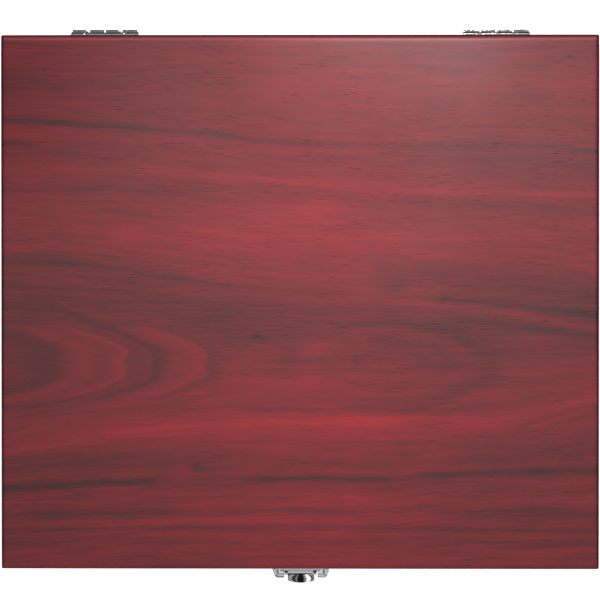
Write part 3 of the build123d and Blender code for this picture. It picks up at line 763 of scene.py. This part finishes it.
def make_welt():
    """Corded welt sewn round the pad's free edge."""
    half_x = (PAD_HIGH.x - PAD_LOW.x) / 2 - WELT_INSET
    half_y = (PAD_HIGH.y - PAD_LOW.y) / 2 - WELT_INSET
    axis_z = PAD_LOW.z + WELT_RISE
    path = rounded_outline(half_x, half_y, WELT_CORNER, WELT_STEP)
    bm = bmesh.new()
    rings = []
    for i, (x, y) in enumerate(path):
        last_x, last_y = path[i - 1]
        next_x, next_y = path[(i + 1) % len(path)]
        run_x, run_y = next_x - last_x, next_y - last_y
        run = math.hypot(run_x, run_y)
        out_x, out_y = run_y / run, -run_x / run
        ring = []
        for k in range(WELT_SIDES):
            angle = 2 * math.pi * k / WELT_SIDES
            # two-ply twist of the cord under the cloth
            radius = WELT_RADIUS * (1 + 0.07 * math.cos(2 * angle + i * 0.55))
            out = radius * math.cos(angle)
            rise = radius * math.sin(angle)
            place = (PAD_X + x + out_x * out, PAD_Y + y + out_y * out, axis_z + rise)
            ring.append(bm.verts.new(place))
        rings.append(ring)
    for i, ring in enumerate(rings):
        following = rings[(i + 1) % len(rings)]
        for k in range(WELT_SIDES):
            j = (k + 1) % WELT_SIDES
            bm.faces.new((ring[k], ring[j], following[j], following[k]))
    bmesh.ops.recalc_face_normals(bm, faces=bm.faces)
    welt = mesh_object("lid_lining_welt", bm)
    cover(welt.data, felt)
    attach(welt, "lid")


make_pad()
make_welt()

# ------------------------------------------------------------------ latch spring
# the leaf spring: a copy of the CAD part with its own mesh, carried by the base
spring = add_object("latch_spring_strip", NODES["latch_spring"].data.copy())
cover(spring.data, spring_metal)
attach(spring, "base")
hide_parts("latch_spring")
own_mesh(spring)

# ------------------------------------------------------------------ floor, light, camera
# What polished metal sees, strip lights between dark flags, on the table and on the walls:
# (degrees round from the front to the right, brightness)
TABLE = [
    (-180, 0.50), (-125, 0.40), (-110, 0.12), (-85, 0.60), (-60, 0.35), (-44, 0.30), (-36, 0.08),
    (-29, 0.08), (-24, 0.10), (-22, 0.38), (-17.5, 0.42), (-16, 0.04), (-11, 0.03), (-9.5, 0.28),
    (-8.5, 0.28), (-7, 0.01), (3.5, 0.01), (5, 0.30), (8.5, 0.34), (10, 1.70), (15, 1.70),
    (16, 0.05), (18.5, 0.05), (20, 0.35), (24, 0.15), (28, 0.06), (45, 0.40), (60, 0.30),
    (85, 0.60), (110, 0.12), (125, 0.40), (180, 0.50),
]
WALLS = [
    (-180, 0.07), (-120, 0.06), (-100, 0.35), (-78, 0.70), (-60, 0.60), (-45, 0.20), (-25, 0.30),
    (0, 0.75), (25, 0.70), (40, 0.15), (58, 0.35), (72, 0.80), (95, 0.60), (120, 0.05), (180, 0.05),
]
# (upward part of the direction, brightness) of the sky that lights all but reflections
SKY = [(0.0, 0.8), (0.20, 1.4), (0.55, 1.4), (0.72, 0.35), (0.86, 0.03), (1.0, 0.02)]


def strips(right, front, lights):
    """Brightness seen in the direction (right, front)."""
    turn = right.op("ARCTAN2", front) / math.pi * 0.5 + 0.5
    return grey_ramp(turn, [(degrees / 360 + 0.5, light) for degrees, light in lights])


def is_glossy(tree):
    return add_node(tree, "LightPath", {}, output="Is Glossy Ray")


def floor_material():
    """A light table, glowing so that no grey patch is left beside the case."""
    made, shader = new_material("pale_floor")
    tree = made.node_tree
    x, y = coords(tree, axes=2)
    pale = mix(noise(x / 420.0, y / 420.0), (0.86, 0.86, 0.86), (0.90, 0.90, 0.90))
    glossy = is_glossy(tree)
    seen = strips(x, -(y + 140.0), TABLE)
    # the strip of table close behind the case lies in its shade
    shade = fade(y, 60.0, 150.0) * fade(y, 222.0, 190.0)
    seen = mix(shade, seen, (0.02, 0.02, 0.02))
    feed(shader, {
        "Base Color": mix(glossy, pale, (0.0, 0.0, 0.0)),
        "Roughness": 0.7,
        "Specular IOR Level": 0.0,
        "Emission Color": mix(glossy, (0.72, 0.72, 0.72), seen),
        "Emission Strength": 1.0,
    })
    # clear from below, so that the underside can be looked at
    below = add_node(tree, "NewGeometry", {}, output="Backfacing")
    clear = add_node(tree, "BsdfTransparent", {})
    surface = add_node(tree, "MixShader", {0: below, 1: Value(tree, shader.outputs[0]), 2: clear})
    feed(tree.nodes["Material Output"], {"Surface": surface})
    return made


def make_floor():
    bm = bmesh.new()
    bmesh.ops.create_grid(bm, x_segments=2, y_segments=2, size=4.0)
    floor = mesh_object("floor", bm)
    floor.location.z = -0.0001
    cover(floor.data, floor_material())


def make_key(place, aim, size, power):
    """Small rectangular light over the back of the case."""
    light = bpy.data.lights.new("key", "AREA")
    light.shape = "RECTANGLE"
    light.size, light.size_y = size
    light.energy = power
    key = add_object("key", light)
    key.location = place
    key.rotation_euler = (Vector(aim) - Vector(place)).to_track_quat("-Z", "Y").to_euler()


def make_world():
    """Soft sky for diffuse light; strip-lit walls for reflections."""
    world = bpy.data.worlds.new("studio")
    bpy.context.scene.world = world
    world.use_nodes = True
    tree = world.node_tree
    right, back, up = split(add_node(tree, "TexCoord", {}, output="Generated"))
    # overhead, brighter towards the front
    above = fade(back, -0.42, 0.05, before=0.42, after=0.045)
    walls = mix(fade(up, 0.55, 0.80), strips(right, -back, WALLS), above)
    # a white card round the lens
    walls = mix(fade(up, 0.981, 0.990), walls, (0.80, 0.82, 0.84))
    colour = mix(is_glossy(tree), grey_ramp(up, SKY), walls)
    feed(tree.nodes["Background"], {"Color": colour, "Strength": 1.0})


def make_camera():
    """Long lens looking almost straight down."""
    camera = add_object("camera", bpy.data.cameras.new("camera"))
    camera.data.sensor_width = 36.0
    camera.data.lens = 220.12
    camera.data.clip_start = 0.05
    camera.data.clip_end = 20.0
    camera.location = (0.0319, 0.0340, 1.968)
    camera.rotation_euler = [math.radians(angle) for angle in (-0.885, 0.958, -0.01)]
    bpy.context.scene.camera = camera


make_floor()
make_key(place=(0.0603, 0.1885, 0.749), aim=(0.0, 0.02, 0.0), size=(0.154, 0.05), power=2.59)
make_world()
make_camera()
bpy.context.scene.view_settings.view_transform = "Standard"
